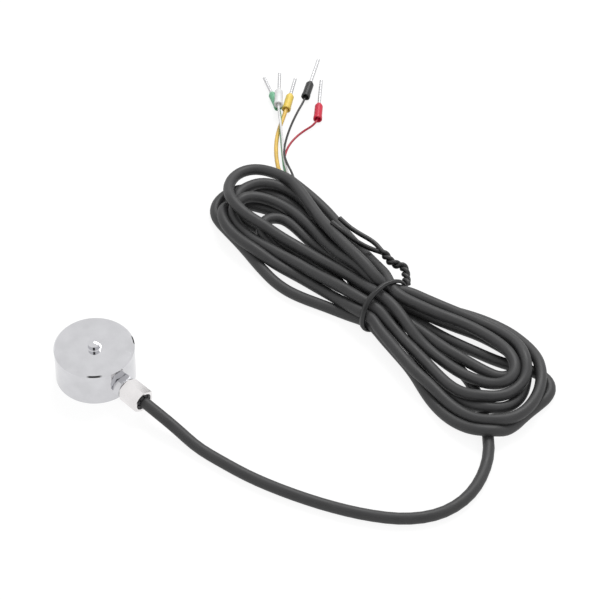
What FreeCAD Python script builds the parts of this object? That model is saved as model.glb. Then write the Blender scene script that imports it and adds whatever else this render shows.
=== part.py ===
import FreeCAD, Part
import math
import os

from FreeCAD import Placement, Rotation, Vector

# Button load cell with its cable, in millimetres, +Z up.
# Origin: centre of the base face. +X: along the cable gland.

# Body: a turned cup whose top is the measuring diaphragm, with the load button on it
body_dia = 20.0
body_height = 10.0
rim_chamfer = 0.35
base_chamfer = 0.2
button_dia = 3.0
button_height = 1.7
button_crown = 0.35
button_root_fillet = 0.25
diaphragm_thickness = 2.2
chamber_wall = 4.5
chamber_fillet = 0.8

# Base cover, pressed into the base a little short of the base face
cover_ledge = 0.7
cover_thickness = 1.0
cover_setback = 0.2
cover_chamfer = 0.15

# Tapped holes for the base screws (M2.5 tapping size)
screw_count = 3
screw_edge_distance = 2.0
screw_tap_dia = 2.05
screw_depth = 3.0
screw_first_angle = 60.0
screw_mouth_chamfer = 0.2
drill_point_share = 0.6

# Cable gland, on a radial axis above the base face
gland_height = 4.1
flange_standoff = 0.1
gland_stem_dia = 5.0
gland_stem_length = 3.7
gland_land_dia = 5.4
hex_across_flats = 5.5
flange_thickness = 1.7
hex_corner_chamfer = 0.35
spigot_dia = 4.6
spigot_length = 2.6
spigot_pocket_depth = 2.0
nut_gap = 0.15
nut_length = 6.0
nut_seat_depth = 2.8
nut_mouth_chamfer = 0.2
seal_dia = 3.8
claw_dia = 4.2
claw_count = 9
claw_slot_width = 0.35
claw_slot_depth = 2.0
claw_proud = 0.25

# Cable
cable_dia = 2.9
cable_clearance = 0.1
jacket_setback = 0.35
core_dia = 0.5
core_circle_dia = 1.5
core_bend_run = 0.9

# Strain gauges on the diaphragm's underside
gauge_count = 4
gauge_circle_share = 0.545
gauge_length_share = 0.255
gauge_width_share = 0.164
gauge_backing = 0.08
gauge_foil = 0.05
gauge_grid_lines = 5
gauge_tab_share = 0.25

# Terminal board in the chamber
pad_setback = 0.7
pad_thickness = 0.4
board_clearance = 1.0
board_thickness = 0.6
joint_dia = 0.7
joint_top_dia = 0.3
joint_height = 0.2
core_joint_inset = 1.1
core_joint_share = 0.244
jumper_joint_share = 0.8
jumper_dia = 0.14
jumper_end_run = 1.2
resistor_size = (1.0, 0.5, 0.35)
resistor_count = 3
resistor_row_x = -0.6
resistor_pitch = 0.8

# Hank of the spare cable: its tie's place, its direction and its height
hank_centre = (35.0, 64.0)
hank_angle = 8.0
hank_height = 7.4
hank_top_fillet = 3.0
hank_outline = [
    (0.0, -7.0), (8.0, -9.6), (19.0, -14.8), (30.0, -18.8), (38.0, -20.6), (46.0, -18.6),
    (51.2, -11.0), (52.2, 0.0), (49.0, 8.8), (42.0, 12.8), (31.0, 15.6), (20.0, 15.0), (9.0, 11.0),
    (0.0, 7.6), (-8.0, 11.2), (-17.0, 15.9), (-27.0, 20.9), (-37.0, 25.2), (-47.0, 26.4),
    (-55.0, 21.5), (-59.4, 12.5), (-58.2, 3.5), (-49.0, -3.4), (-38.0, -6.6), (-26.0, -9.5),
    (-13.0, -8.6),
]

# Twist tie round the hank's waist: its band's way round it, then its twisted stub and two tails
tie_width = 1.4
tie_thickness = 0.7
tie_neck = (-1.2, 4.2)
neck_reach = 15.0
tie_way = [
    (3.2, 7.3, 5.2), (2.9, 7.15, 7.2), (2.3, 6.4, 8.8), (1.4, 4.8, 9.7), (0.25, 2.2, 9.9),
    (-0.1, -0.6, 9.7), (-0.3, -3.2, 9.0), (-0.15, -5.3, 7.8), (0.15, -6.6, 6.2), (0.2, -7.1, 4.2),
    (0.45, -7.05, 2.4), (1.15, -6.4, 1.1), (1.8, -4.8, 0.5), (2.2, 0.0, 0.45), (2.6, 4.8, 0.5),
    (2.9, 6.6, 1.1), (3.1, 7.2, 2.8),
]
tie_stub_dia = 2.0
tie_tail_dia = 1.25
tie_stub_route = [(2.9, 7.4, 7.0), (0.9, 10.6, 6.4), (-2.2, 12.9, 6.3), (-8.8, 13.6, 6.5)]
tie_tail_routes = [
    [(-8.4, 13.9, 6.6), (-12.4, 14.9, 7.0), (-17.5, 14.6, 7.4), (-24.0, 15.5, 8.0)],
    [(-8.4, 13.3, 6.4), (-12.4, 11.9, 7.3), (-16.8, 11.0, 8.7), (-23.4, 11.4, 10.1)],
]

# Lead from the gland to the hank; its chosen points, with heights above the floor
lead_route = [
    (23.0, 0.0, 4.1), (29.0, 0.7, 2.7), (36.0, 0.9, 1.45), (43.6, 2.1, 1.45),
    (52.0, 3.7, 1.45), (61.5, 6.8, 1.45), (70.8, 10.7, 1.45), (79.4, 15.4, 1.45),
    (86.8, 21.0, 1.45), (91.6, 28.2, 1.45), (92.6, 36.6, 1.45), (90.0, 45.0, 1.45),
    (84.6, 52.8, 1.45), (77.4, 59.0, 1.45),
]

# Insulated wires out of the jacket's end, each to its crimped ferrule
wire_dia = 0.5
sleeve_dia = 1.0
wire_routes = {
    "black": [(-11.3, 81.0, 1.9), (-16.3, 83.7, 1.1), (-21.4, 85.1, 1.35), (-25.0, 89.4, 1.3),
              (-28.6, 95.1, 0.25), (-31.4, 100.0, 0.3)],
    "red": [(-11.5, 80.7, 0.9), (-17.2, 82.7, 0.25), (-21.9, 85.8, 0.25), (-25.2, 90.4, 0.25),
            (-26.6, 96.2, 0.25)],
    "yellow": [(-12.0, 79.3, 1.0), (-17.6, 80.7, 0.5), (-22.4, 83.8, 0.5), (-27.0, 87.8, 0.5),
               (-30.7, 92.1, 0.5)],
    "white": [(-11.6, 80.4, 2.4), (-16.6, 82.6, 2.0), (-21.7, 85.6, 2.1), (-26.7, 90.0, 2.0),
              (-30.9, 93.4, 2.8)],
    "green": [(-12.0, 79.8, 1.8), (-17.4, 82.2, 0.85), (-22.5, 86.1, 0.75), (-27.8, 90.6, 0.8),
              (-32.2, 94.6, 1.8)],
}
ferrule_mouths = {
    "black": (-35.0, 106.7, 1.2), "red": (-26.4, 102.9, 1.2), "yellow": (-35.1, 99.5, 1.2),
    "white": (-36.0, 97.5, 3.65), "green": (-37.1, 98.6, 1.2),
}
ferrule_tips = {
    "black": (-44.5, 121.7, 1.2), "red": (-39.3, 117.3, 1.2), "yellow": (-42.1, 109.7, 1.2),
    "white": (-43.8, 105.4, 3.65), "green": (-49.3, 104.4, 1.2),
}
ferrule_lead_in = 1.5
long_pins = ("black", "red")

# Crimped ferrules
collar_length = 6.0
collar_dia = 2.2
collar_mouth_dia = 2.4
collar_mouth_length = 0.8
collar_shoulder = 0.9
collar_front_dia = 1.3
collar_funnel_depth = 1.2
collar_wall = 0.35
pin_dia = 0.9
pin_long = 9.5
pin_short = 6.5
pin_grip = 2.5
pin_groove_count = 8
pin_groove_width = 0.4
pin_groove_depth = 0.07
pin_tip_chamfer = 0.1

# Small edge breaks, and how far a cutting solid passes the face it opens
edge_break = 0.2
overrun = 1.0

# Sizes worked out from the ones above
body_radius = body_dia / 2
chamber_dia = body_dia - 2 * chamber_wall
cover_dia = chamber_dia + 2 * cover_ledge
screw_circle_dia = body_dia - 2 * screw_edge_distance
gauge_circle_dia = chamber_dia * gauge_circle_share
gauge_length = chamber_dia * gauge_length_share
gauge_width = chamber_dia * gauge_width_share
gauge_tab = gauge_width * gauge_tab_share
board_dia = chamber_dia - 2 * board_clearance
pad_dia = board_dia - 2 * pad_setback
core_joint_x = board_dia / 2 - core_joint_inset
core_joint_pitch = board_dia / 2 * core_joint_share
cover_top = cover_setback + cover_thickness
diaphragm_under = body_height - diaphragm_thickness
land_x = math.sqrt(body_radius ** 2 - (gland_land_dia / 2) ** 2)
flange_x = body_radius + flange_standoff
flange_end_x = flange_x + flange_thickness
nut_x = flange_end_x + nut_gap
nut_end_x = nut_x + nut_length
stem_end_x = land_x - gland_stem_length
jacket_end_x = stem_end_x + jacket_setback
cable_bore_dia = cable_dia + 2 * cable_clearance
pad_top = cover_top + pad_thickness
board_top = pad_top + board_thickness
joint_top = board_top + joint_height

os.makedirs("parts", exist_ok=True)
exported = []


def export(shape, node):
    """Write one node and print what it is, so that a bad solid shows at once."""
    shape.exportStep("parts/" + node + ".step")
    exported.append(node)
    state = "ok" if shape.isValid() else "NOT VALID"
    print(f"{node}: {len(shape.Solids)} solid, {shape.Volume:.3f} mm3, {state}")


def turned(profile, centre, direction):
    """Turn a profile of (along, radius) points about an axis; a triple is an arc's middle."""
    edges = []
    start = profile[0]
    index = 1
    points = [Vector(radius, 0, along) for along, radius, *rest in profile]
    kinds = [len(point) for point in profile]
    while index < len(profile) + 1:
        here = index % len(profile)
        if kinds[here] == 3:
            after = (here + 1) % len(profile)
            edges.append(Part.Arc(points[index - 1], points[here], points[after]).toShape())
            index += 2
        else:
            edges.append(Part.LineSegment(points[index - 1], points[here]).toShape())
            index += 1
    face = Part.Face(Part.Wire(edges))
    solid = face.revolve(Vector(0, 0, 0), Vector(0, 0, 1), 360)
    solid.Placement = Placement(Vector(*centre), Rotation(Vector(0, 0, 1), Vector(*direction)))
    return solid


def rod(start, direction, radius, length):
    return Part.makeCylinder(radius, length, Vector(*start), Vector(*direction))


def hex_bar(x_start, length, across_flats, turn):
    """A hexagonal bar along the gland's axis; turn 0 has a flat on top."""
    corner = across_flats / math.sqrt(3)
    points = []
    for step in range(7):
        angle = math.radians(60 * step + turn)
        points.append(Vector(x_start, corner * math.cos(angle), gland_height + corner * math.sin(angle)))
    return Part.Face(Part.makePolygon(points)).extrude(Vector(length, 0, 0))


def tube(route, diameter, name, least=5.0):
    """Straight runs joined by tangent arcs, swept with a round section."""
    points = [Vector(*point) for point in route]
    edges = []
    start = points[0]
    length = 0.0
    radii = []
    for before, corner, after in zip(points, points[1:], points[2:]):
        into = (corner - before).normalize()
        out = (after - corner).normalize()
        half_turn = into.getAngle(out) / 2
        reach = 0.45 * min(before.distanceToPoint(corner), corner.distanceToPoint(after))
        radius = reach / math.tan(half_turn)
        radii.append(radius)
        first = corner - into * reach
        last = corner + out * reach
        middle_way = (out - into).normalize() * (radius / math.cos(half_turn) - radius)
        edges.append(Part.LineSegment(start, first).toShape())
        edges.append(Part.Arc(first, corner + middle_way, last).toShape())
        length += start.distanceToPoint(first) + 2 * half_turn * radius
        start = last
    edges.append(Part.LineSegment(start, points[-1]).toShape())
    length += start.distanceToPoint(points[-1])
    first_way = (points[1] - points[0]).normalize()
    section = Part.Wire(Part.makeCircle(diameter / 2, points[0], first_way))
    solid = Part.Wire(edges).makePipeShell([section], True, False)
    section_area = math.pi * diameter ** 2 / 4
    tight = min(radii) / diameter
    note = "" if tight >= least else " TIGHT"
    ratio = solid.Volume / (section_area * length)
    print(f"{name}: {length:.1f} mm, tightest arc {min(radii):.1f} mm = {tight:.1f} diameters{note},",
          f"volume ratio {ratio:.4f}")
    return solid


def on_hank(u, v, z=0.0):
    """A point in the hank's own directions, moved to the row's."""
    angle = math.radians(hank_angle)
    x = hank_centre[0] + u * math.cos(angle) - v * math.sin(angle)
    y = hank_centre[1] + u * math.sin(angle) + v * math.cos(angle)
    return (x, y, z)


# Body, diaphragm and button, one turned piece
def make_body():
    button = button_dia / 2
    crown_base = body_height + button_height - button_crown
    crown_radius = (button ** 2 + button_crown ** 2) / (2 * button_crown)
    crown_middle = button / 2
    crown_rise = math.sqrt(crown_radius ** 2 - crown_middle ** 2) - (crown_radius - button_crown)
    fillet = button_root_fillet
    bend = fillet * (1 - math.sqrt(0.5))
    inner_bend = chamber_fillet * (1 - math.sqrt(0.5))
    chamber = chamber_dia / 2
    profile = [
        (body_height + button_height, 0.0),
        (crown_base + crown_rise, crown_middle, "arc"),
        (crown_base, button),
        (body_height + fillet, button),
        (body_height + bend, button + bend, "arc"),
        (body_height, button + fillet),
        (body_height, body_radius - rim_chamfer),
        (body_height - rim_chamfer, body_radius),
        (base_chamfer, body_radius),
        (0.0, body_radius - base_chamfer),
        (0.0, cover_dia / 2),
        (cover_top, cover_dia / 2),
        (cover_top, chamber),
        (diaphragm_under - chamber_fillet, chamber),
        (diaphragm_under - inner_bend, chamber - inner_bend, "arc"),
        (diaphragm_under, chamber - chamber_fillet),
        (diaphragm_under, 0.0),
    ]
    solid = turned(profile, (0, 0, 0), (0, 0, 1))
    for index in range(screw_count):
        angle = math.radians(screw_first_angle + index * 360 / screw_count)
        x = screw_circle_dia / 2 * math.cos(angle)
        y = screw_circle_dia / 2 * math.sin(angle)
        tap = screw_tap_dia / 2
        drill = turned([(0, 0), (0, tap + screw_mouth_chamfer), (screw_mouth_chamfer, tap),
                        (screw_depth, tap), (screw_depth + tap * drill_point_share, 0)],
                       (x, y, 0), (0, 0, 1))
        solid = solid.cut(drill)
    bore = rod((stem_end_x - overrun, 0, gland_height), (1, 0, 0), gland_stem_dia / 2, body_radius)
    spotface = rod((land_x, 0, gland_height), (1, 0, 0), gland_land_dia / 2, body_radius)
    return solid.cut(bore).cut(spotface)


def make_cover():
    radius = cover_dia / 2
    return turned([(cover_setback, 0), (cover_setback, radius - cover_chamfer),
                   (cover_setback + cover_chamfer, radius), (cover_top, radius), (cover_top, 0)],
                  (0, 0, 0), (0, 0, 1))


# Strain gauges: backing, folded foil grid and two solder tabs, on the diaphragm's underside
def make_gauge(index):
    top = diaphragm_under
    foil_z = top - gauge_backing - gauge_foil
    solid = Part.makeBox(gauge_width, gauge_length, gauge_backing,
                         Vector(-gauge_width / 2, -gauge_length / 2, top - gauge_backing))
    line = gauge_width / (2 * gauge_grid_lines + 1)
    grid_length = gauge_length - 2 * line - gauge_tab
    for step in range(gauge_grid_lines):
        x = -gauge_width / 2 + line * (2 * step + 1)
        strand = Part.makeBox(line, grid_length, gauge_foil, Vector(x, -gauge_length / 2 + line, foil_z))
        solid = solid.fuse(strand)
    for side in (-1, 1):
        tab = Part.makeBox(gauge_tab, gauge_tab, gauge_foil,
                           Vector(side * gauge_width / 4 - gauge_tab / 2,
                                  gauge_length / 2 - gauge_tab - line / 2, foil_z))
        solid = solid.fuse(tab)
    solid.translate(Vector(gauge_circle_dia / 2, 0, 0))
    solid.rotate(Vector(0, 0, 0), Vector(0, 0, 1), 360 / gauge_count * (index + 0.5))
    return solid


def gauge_tab_places(index):
    """The two tabs' centres, on the foil's lower face."""
    line = gauge_width / (2 * gauge_grid_lines + 1)
    angle = math.radians(360 / gauge_count * (index + 0.5))
    places = []
    for side in (-1, 1):
        x = gauge_circle_dia / 2 + side * gauge_width / 4
        y = gauge_length / 2 - gauge_tab / 2 - line / 2
        places.append(Vector(x * math.cos(angle) - y * math.sin(angle),
                             x * math.sin(angle) + y * math.cos(angle),
                             diaphragm_under - gauge_backing - gauge_foil))
    return places


# Terminal board, its pad, its solder joints and the compensation resistors
def core_joint_places():
    half = (len(wire_routes) - 1) / 2
    return [Vector(core_joint_x, (step - half) * core_joint_pitch, board_top)
            for step in range(len(wire_routes))]


def jumper_joint_place(tab):
    return Vector(tab.x * jumper_joint_share, tab.y * jumper_joint_share, board_top)


def make_joint(place):
    return turned([(0, 0), (0, joint_dia / 2), (joint_height, joint_top_dia / 2), (joint_height, 0)],
                  (place.x, place.y, place.z), (0, 0, 1))


def make_jumper(tab):
    foot = jumper_joint_place(tab) + Vector(0, 0, joint_height)
    run = Vector(0, 0, jumper_end_run)
    route = [tuple(foot), tuple(foot + run), tuple(tab - run), tuple(tab)]
    return tube(route, jumper_dia, "jumper")


def make_resistors():
    size_x, size_y, size_z = resistor_size
    blocks = []
    for step in range(resistor_count):
        y = (step - (resistor_count - 1) / 2) * resistor_pitch
        block = Part.makeBox(size_x, size_y, size_z,
                             Vector(resistor_row_x - size_x / 2, y - size_y / 2, board_top))
        blocks.append(block)
    return Part.Compound(blocks)


# Cable gland: fitting, nut, seal and clamping claws, all on the gland's axis
def on_gland(profile):
    """Turn (x, radius) points about the gland's axis."""
    return turned(profile, (0, 0, gland_height), (1, 0, 0))


def hex_with_corners(x_start, length, turn, both):
    """A hexagon whose corners are turned back at its outer end, or at both."""
    bar = hex_bar(x_start, length, hex_across_flats, turn)
    flat = hex_across_flats / 2
    corner = hex_across_flats / math.sqrt(3)
    slope = hex_corner_chamfer
    clear = corner + slope
    first = flat if both else clear
    blank = on_gland([(x_start, 0), (x_start, first), (x_start + slope, clear),
                      (x_start + length - slope, clear), (x_start + length, flat),
                      (x_start + length, 0)])
    return bar.common(blank)


def make_fitting():
    flange = hex_with_corners(flange_x, flange_thickness, 0, False)
    spigot_end = flange_end_x + spigot_length
    core = on_gland([(stem_end_x, 0), (stem_end_x, gland_stem_dia / 2), (land_x, gland_stem_dia / 2),
                     (land_x, gland_land_dia / 2), (flange_x, gland_land_dia / 2),
                     (flange_x + edge_break, spigot_dia / 2), (spigot_end - edge_break, spigot_dia / 2),
                     (spigot_end, spigot_dia / 2 - edge_break), (spigot_end, 0)])
    bore = on_gland([(stem_end_x - overrun, 0), (stem_end_x - overrun, cable_bore_dia / 2),
                     (spigot_end - spigot_pocket_depth, cable_bore_dia / 2),
                     (spigot_end - spigot_pocket_depth, seal_dia / 2),
                     (spigot_end + overrun, seal_dia / 2), (spigot_end + overrun, 0)])
    return flange.fuse(core).cut(bore).removeSplitter()


def make_nut():
    bar = hex_with_corners(nut_x, nut_length, 30, True)
    seat_x = nut_x + nut_seat_depth
    bore = on_gland([(nut_x - overrun, 0), (nut_x - overrun, spigot_dia / 2), (seat_x, spigot_dia / 2),
                     (seat_x, claw_dia / 2), (nut_end_x - nut_mouth_chamfer, claw_dia / 2),
                     (nut_end_x, claw_dia / 2 + nut_mouth_chamfer),
                     (nut_end_x + overrun, claw_dia / 2 + nut_mouth_chamfer), (nut_end_x + overrun, 0)])
    return bar.cut(bore)


def make_seal():
    start = flange_end_x + spigot_length - spigot_pocket_depth
    return on_gland([(start, cable_dia / 2), (start, seal_dia / 2),
                     (nut_x + nut_seat_depth, seal_dia / 2), (nut_x + nut_seat_depth, cable_dia / 2)])


def make_claws():
    start = nut_x + nut_seat_depth
    end = nut_end_x + claw_proud
    ring = on_gland([(start, cable_dia / 2), (start, claw_dia / 2), (nut_end_x, claw_dia / 2),
                     (end, claw_dia / 2 - claw_proud), (end, cable_dia / 2)])
    for step in range(claw_count):
        slot = Part.makeBox(claw_slot_depth, claw_slot_width, claw_dia,
                            Vector(end - claw_slot_depth, -claw_slot_width / 2, gland_height))
        slot.rotate(Vector(0, 0, gland_height), Vector(1, 0, 0), 360 / claw_count * step)
        ring = ring.cut(slot)
    return ring


# Cable inside the gland, and its cores to the board
def core_starts():
    starts = []
    for step in range(len(wire_routes)):
        angle = math.radians(90 + 360 / len(wire_routes) * step)
        starts.append(Vector(jacket_end_x, core_circle_dia / 2 * math.cos(angle),
                             gland_height + core_circle_dia / 2 * math.sin(angle)))
    return sorted(starts, key=lambda place: place.y)


def make_core(start, joint, name):
    top = joint + Vector(0, 0, joint_height)
    bend = start - Vector(core_bend_run, 0, 0)
    above = top + Vector(0, 0, core_bend_run)
    return tube([tuple(start), tuple(bend), tuple(above), tuple(top)], core_dia, name, least=0.5)


# Hank and its twist tie
def closed_curve(points):
    curve = Part.BSplineCurve()
    curve.interpolate(Points=points, PeriodicFlag=True)
    return curve.toShape()


def make_tie_band():
    """A ribbon swept round the waist, its width always along the hank."""
    path = closed_curve([Vector(*on_hank(*point)) for point in tie_way])
    start, way = path.valueAt(path.FirstParameter), path.tangentAt(path.FirstParameter)
    along = Vector(*on_hank(1.0, 0.0)) - Vector(*on_hank(0.0, 0.0))
    side = along * (tie_width / 2)
    out = way.cross(along).normalize() * (tie_thickness / 2)
    corners = [start - side - out, start + side - out, start + side + out, start - side + out]
    sweep = Part.BRepOffsetAPI.MakePipeShell(Part.Wire(path))
    sweep.setBiNormalMode(along)
    sweep.add(Part.makePolygon(corners + corners[:1]))
    sweep.build()
    sweep.makeSolid()
    return sweep.shape()


def make_tie(band):
    stub = tube([on_hank(*point) for point in tie_stub_route], tie_stub_dia, "tie stub", least=0.8)
    solid = band.fuse(stub)
    for index, route in enumerate(tie_tail_routes):
        solid = solid.fuse(tube([on_hank(*point) for point in route], tie_tail_dia, f"tie tail {index}"))
    return solid.Solids[0]


def make_hank(tie_solid):
    """The hank's outer shape, with a neck where the tie draws it together."""
    outline = closed_curve([Vector(*on_hank(u, v)) for u, v in hank_outline])
    block = Part.Face(Part.Wire(outline)).extrude(Vector(0, 0, hank_height))
    rim = [edge for edge in block.Edges if edge.BoundBox.ZMin > hank_height - edge_break]
    block = block.makeFillet(hank_top_fillet, rim)
    low, high = tie_neck
    section = closed_curve([Vector(*on_hank(low, v, z)) for u, v, z in tie_way])
    along = Vector(*on_hank(high, 0.0)) - Vector(*on_hank(low, 0.0))
    neck = Part.Face(Part.Wire(section)).extrude(along)
    corners = [Vector(*on_hank(u, v)) for u, v in ((low, -neck_reach), (high, -neck_reach),
                                                   (high, neck_reach), (low, neck_reach))]
    slab = Part.Face(Part.makePolygon(corners + corners[:1])).extrude(Vector(0, 0, 2 * hank_height))
    hank = block.cut(slab).fuse(neck).cut(tie_solid)
    # The tails cut thin slivers off the edge; only the hank itself is kept
    return max(hank.Solids, key=lambda solid: solid.Volume)


# Ferrules at the wires' ends
def ferrule_axis(colour):
    """Where the wire is seated in its collar, and the way the pin points."""
    mouth = Vector(*ferrule_mouths[colour])
    way = (Vector(*ferrule_tips[colour]) - mouth).normalize()
    return mouth + way * collar_funnel_depth, way


def wire_route(colour):
    """The chosen points, then straight into the collar."""
    seat, way = ferrule_axis(colour)
    before = seat - way * (collar_funnel_depth + ferrule_lead_in)
    return wire_routes[colour] + [tuple(before), tuple(seat)]


def make_collar(colour):
    start, way = ferrule_axis(colour)
    wire = wire_size(colour) / 2
    mouth = collar_mouth_dia / 2
    barrel = collar_dia / 2
    outer = [(-collar_funnel_depth, mouth), (-collar_funnel_depth + collar_mouth_length, mouth),
             (-collar_funnel_depth + collar_mouth_length + mouth - barrel, barrel),
             (collar_length - collar_funnel_depth - collar_shoulder, barrel),
             (collar_length - collar_funnel_depth, collar_front_dia / 2)]
    inner = [(collar_length - collar_funnel_depth, pin_dia / 2), (0.0, pin_dia / 2),
             (0.0, wire), (-collar_funnel_depth, mouth - collar_wall)]
    return turned(outer + inner, tuple(start), tuple(way))


def make_pin(colour):
    start, way = ferrule_axis(colour)
    reach = pin_long if colour in long_pins else pin_short
    bare = collar_length - collar_funnel_depth
    end = bare + reach
    radius = pin_dia / 2
    waist = radius - pin_groove_depth
    profile = [(bare - pin_grip, 0.0), (bare - pin_grip, radius)]
    for step in range(pin_groove_count):
        low = bare + reach * (step + 1) / (pin_groove_count + 1) - pin_groove_width / 2
        profile.append((low, radius))
        profile.append((low + pin_groove_depth, waist))
        profile.append((low + pin_groove_width - pin_groove_depth, waist))
        profile.append((low + pin_groove_width, radius))
    profile.append((end - pin_tip_chamfer, radius))
    profile.append((end, radius - pin_tip_chamfer))
    profile.append((end, 0.0))
    return turned(profile, tuple(start), tuple(way))


def wire_size(colour):
    return sleeve_dia if colour == "yellow" else wire_dia


body = make_body()
export(body, "body")
export(make_cover(), "base_cover")
joints = [make_joint(place) for place in core_joint_places()]
jumpers = []
for index in range(gauge_count):
    export(make_gauge(index), f"strain_gauge_{index + 1}")
    for tab in gauge_tab_places(index):
        joints.append(make_joint(jumper_joint_place(tab)))
        jumpers.append(make_jumper(tab))
export(rod((0, 0, cover_top), (0, 0, 1), pad_dia / 2, pad_thickness), "board_pad")
export(rod((0, 0, pad_top), (0, 0, 1), board_dia / 2, board_thickness), "terminal_board")
export(Part.Compound(joints), "solder_joints")
export(Part.Compound(jumpers), "gauge_jumpers")
export(make_resistors(), "bridge_resistors")
export(make_fitting(), "gland_fitting")
export(make_nut(), "gland_nut")
export(make_seal(), "gland_seal")
export(make_claws(), "gland_claws")
claw_end_x = nut_end_x + claw_proud
export(rod((jacket_end_x, 0, gland_height), (1, 0, 0), cable_dia / 2, claw_end_x - jacket_end_x),
       "cable_in_gland")
for colour, start, joint in zip(wire_routes, core_starts(), core_joint_places()):
    export(make_core(start, joint, "core " + colour), "core_" + colour)

tie_band = make_tie_band()
tie = make_tie(tie_band)
hank = make_hank(tie)
export(tie, "twist_tie")
export(hank, "cable_hank")
route = [(claw_end_x, 0.0, gland_height)] + lead_route
export(tube(route, cable_dia, "lead").cut(hank), "cable_lead")
for colour in wire_routes:
    wire = tube(wire_route(colour), wire_size(colour), "wire " + colour, least=3.0)
    export(wire.cut(hank), "wire_" + colour)
    export(make_collar(colour), "ferrule_collar_" + colour)
    export(make_pin(colour), "ferrule_pin_" + colour)
print(len(exported), "nodes")
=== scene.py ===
# %% [markdown]
# # A button load cell and its tied cable
# The real object is a polished steel puck, no wider than a coin, that measures the force on the small
# button in its top. A gland in its side clamps a black cable of about one and a half metres, which is
# folded to a bow-tie hank, held by a twist tie, and ends in five wires with crimped ferrules.
# The rigid pieces come from the CAD model, so they only get their finish here. What is soft is modelled
# here: the cable, its tie and the wires.
#
# Everything is in metres, in the CAD model's own frame: the origin is the centre of the base face, +X
# points out along the gland and +Z up along the load axis.

import math

import bmesh
import bpy
import numpy as np
from mathutils import Matrix, Vector


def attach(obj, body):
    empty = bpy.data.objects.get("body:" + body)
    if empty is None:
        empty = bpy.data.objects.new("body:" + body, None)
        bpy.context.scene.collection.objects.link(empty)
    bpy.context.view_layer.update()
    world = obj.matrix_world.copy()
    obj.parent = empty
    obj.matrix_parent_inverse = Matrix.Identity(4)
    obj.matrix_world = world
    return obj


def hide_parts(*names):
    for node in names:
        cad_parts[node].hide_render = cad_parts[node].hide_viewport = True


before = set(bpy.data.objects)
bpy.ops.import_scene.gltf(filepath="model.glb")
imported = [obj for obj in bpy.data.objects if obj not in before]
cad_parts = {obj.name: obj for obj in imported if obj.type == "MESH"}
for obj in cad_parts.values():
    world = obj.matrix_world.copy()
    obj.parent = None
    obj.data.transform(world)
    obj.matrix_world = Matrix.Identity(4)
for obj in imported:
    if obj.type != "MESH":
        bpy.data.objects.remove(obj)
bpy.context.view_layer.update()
MM = 0.001

# %% [markdown]
# The photograph looks down on the object from high above its front right, through a long lens. A camera
# can be set by eye, but here the cable is traced in the picture, so the camera has to be the real one.
# Its elevation and its lens were measured from the ellipses of the body's rims, and its azimuth from the
# gland's axis. ORIGIN_PX is the picture point at which the centre of the base shows.

# %% Camera
ELEVATION = math.radians(46.87)
AZIMUTH = math.radians(45.8)
FOCAL_PX = 2900.0
PICTURE_PX = 600.0
ORIGIN_PX = (96.15, 373.8)
DISTANCE = 0.72007
SENSOR_WIDTH = 36.0
NEAR_CLIP = 0.01

back = Vector((math.sin(AZIMUTH) * math.cos(ELEVATION), -math.cos(AZIMUTH) * math.cos(ELEVATION),
               math.sin(ELEVATION)))
right = Vector((math.cos(AZIMUTH), math.sin(AZIMUTH), 0.0))
up = back.cross(right)
side_shift = (ORIGIN_PX[0] - PICTURE_PX / 2) / FOCAL_PX * DISTANCE
down_shift = (ORIGIN_PX[1] - PICTURE_PX / 2) / FOCAL_PX * DISTANCE
camera_place = back * DISTANCE - right * side_shift + up * down_shift

camera_data = bpy.data.cameras.new("camera")
camera_data.sensor_width = SENSOR_WIDTH
camera_data.lens = FOCAL_PX / PICTURE_PX * camera_data.sensor_width
camera_data.clip_start = NEAR_CLIP
camera = bpy.data.objects.new("camera", camera_data)
camera.matrix_world = Matrix.Translation(camera_place) @ Matrix((right, up, back)).transposed().to_4x4()
bpy.context.scene.collection.objects.link(camera)
bpy.context.scene.camera = camera
bpy.context.scene.view_settings.view_transform = "Standard"
print("camera at", tuple(round(v, 4) for v in camera_place), "lens", camera_data.lens)

# %% [markdown]
# A finish in Blender is a small tree of nodes round one shader. The nodes could be set and joined by hand
# in the shader editor. A few short helpers say the same in one line each, for a material and for the
# world alike.

# %% Nodes of a finish
def new_material(name, colour, roughness, metallic=0.0):
    """An even finish, which the helpers below then vary."""
    material = bpy.data.materials.new(name)
    material.use_nodes = True
    shader = main_shader(material)
    shader.inputs["Base Color"].default_value = (*colour, 1.0)
    shader.inputs["Roughness"].default_value = roughness
    shader.inputs["Metallic"].default_value = metallic
    return material


def main_shader(material):
    return material.node_tree.nodes["Principled BSDF"]


def add_node(owner, kind, **values):
    """A new node for a material or the world, with its inputs and settings by name."""
    node = owner.node_tree.nodes.new(kind)
    for key, value in values.items():
        if key in node.inputs:
            node.inputs[key].default_value = value
        else:
            setattr(node, key, value)
    return node


def connect(owner, source, target):
    """A link between two sockets."""
    owner.node_tree.links.new(source, target)


print(len(bpy.data.materials), "materials from the CAD model")

# %% [markdown]
# No real surface is quite even, so noise varies its colour, its gloss and its fine relief a little. A
# painted texture would need a picture and a way to wrap it round each piece. Noise over the object's own
# coordinates needs neither, and runs on across every edge.

# %% Noise in a finish
NOISE_LOW, NOISE_HIGH = 0.3, 0.7
MIX_FIRST, MIX_SECOND, MIX_RESULT = 6, 7, 2


def place_noise(material, scale, detail):
    """Noise over the object's own coordinates, in features per metre."""
    place = add_node(material, "ShaderNodeTexCoord")
    noise = add_node(material, "ShaderNodeTexNoise", Scale=scale, Detail=detail)
    connect(material, place.outputs["Object"], noise.inputs["Vector"])
    return noise.outputs["Fac"]


def spread(material, noise, low, high):
    """The noise, whose values lie mostly between 0.3 and 0.7, mapped to a range."""
    node = add_node(material, "ShaderNodeMapRange", **{
        "From Min": NOISE_LOW, "From Max": NOISE_HIGH, "To Min": low, "To Max": high})
    connect(material, noise, node.inputs["Value"])
    return node.outputs["Result"]


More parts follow.
